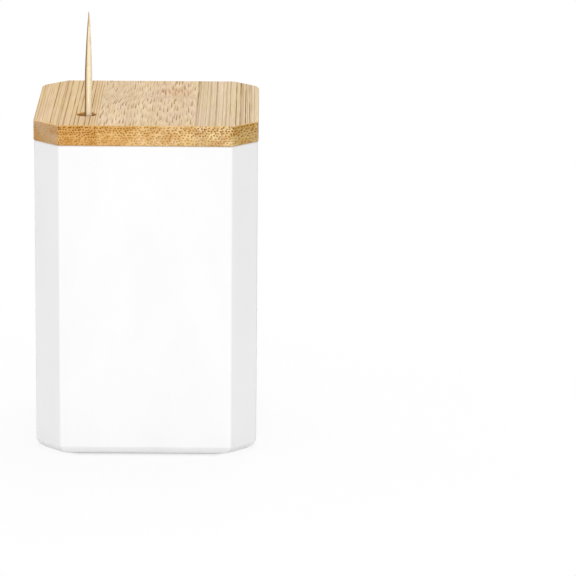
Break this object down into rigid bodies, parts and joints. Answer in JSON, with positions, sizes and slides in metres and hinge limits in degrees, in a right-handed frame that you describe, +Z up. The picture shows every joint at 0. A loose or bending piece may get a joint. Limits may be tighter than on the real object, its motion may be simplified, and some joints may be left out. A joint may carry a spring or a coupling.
{
  "type": "toothpick dispenser",
  "caption": "Octagonal white table cup for toothpicks, with a lift-off bamboo lid that lets them out through a hole near one corner, one at a time.",
  "frame": {"origin": "centre of the cup's flat base, on the surface that it stands on", "axes": "+Z up through the lid; -Y towards the front, so the dispensing hole is near the front left corner; +X to the right"},
  "size_m": [0.056, 0.056, 0.111],
  "materials": {
    "cup_plastic": "white moulded plastic, fine satin",
    "lid_bamboo": "laminated bamboo, sanded and lightly oiled",
    "plug_bamboo": "sanded bamboo, unfinished",
    "seal_silicone": "translucent white silicone, soft satin",
    "toothpick_wood": "pale turned bamboo, unfinished"
  },
  "bodies": {
    "root": {"cup": "cup_plastic", "toothpick_rank_01": "toothpick_wood", "toothpick_rank_02": "toothpick_wood", "toothpick_rank_03": "toothpick_wood", "toothpick_rank_04": "toothpick_wood", "toothpick_rank_05": "toothpick_wood", "toothpick_rank_06": "toothpick_wood", "toothpick_rank_07": "toothpick_wood", "toothpick_rank_08": "toothpick_wood", "toothpick_rank_09": "toothpick_wood", "toothpick_rank_10": "toothpick_wood", "toothpick_rank_11": "toothpick_wood", "toothpick_rank_12": "toothpick_wood", "toothpick_rank_13": "toothpick_wood"},
    "lid": {"lid_strip_left": "lid_bamboo", "lid_strip_centre": "lid_bamboo", "lid_strip_right": "lid_bamboo", "lid_plug": "plug_bamboo", "lid_seal_ring": "seal_silicone"},
    "toothpick": {"dispensed_toothpick": "toothpick_wood"}
  },
  "joints": [
    {"name": "lid_lift", "type": "slide", "parent": "root", "child": "lid", "axis": [0, 0, 1], "range_m": [0, 0.04]},
    {"name": "toothpick_slide", "type": "slide", "parent": "root", "child": "toothpick", "axis": [0.0131, -0.0087, 0.9999], "range_m": [-0.0439, 0.04]}
  ]
}
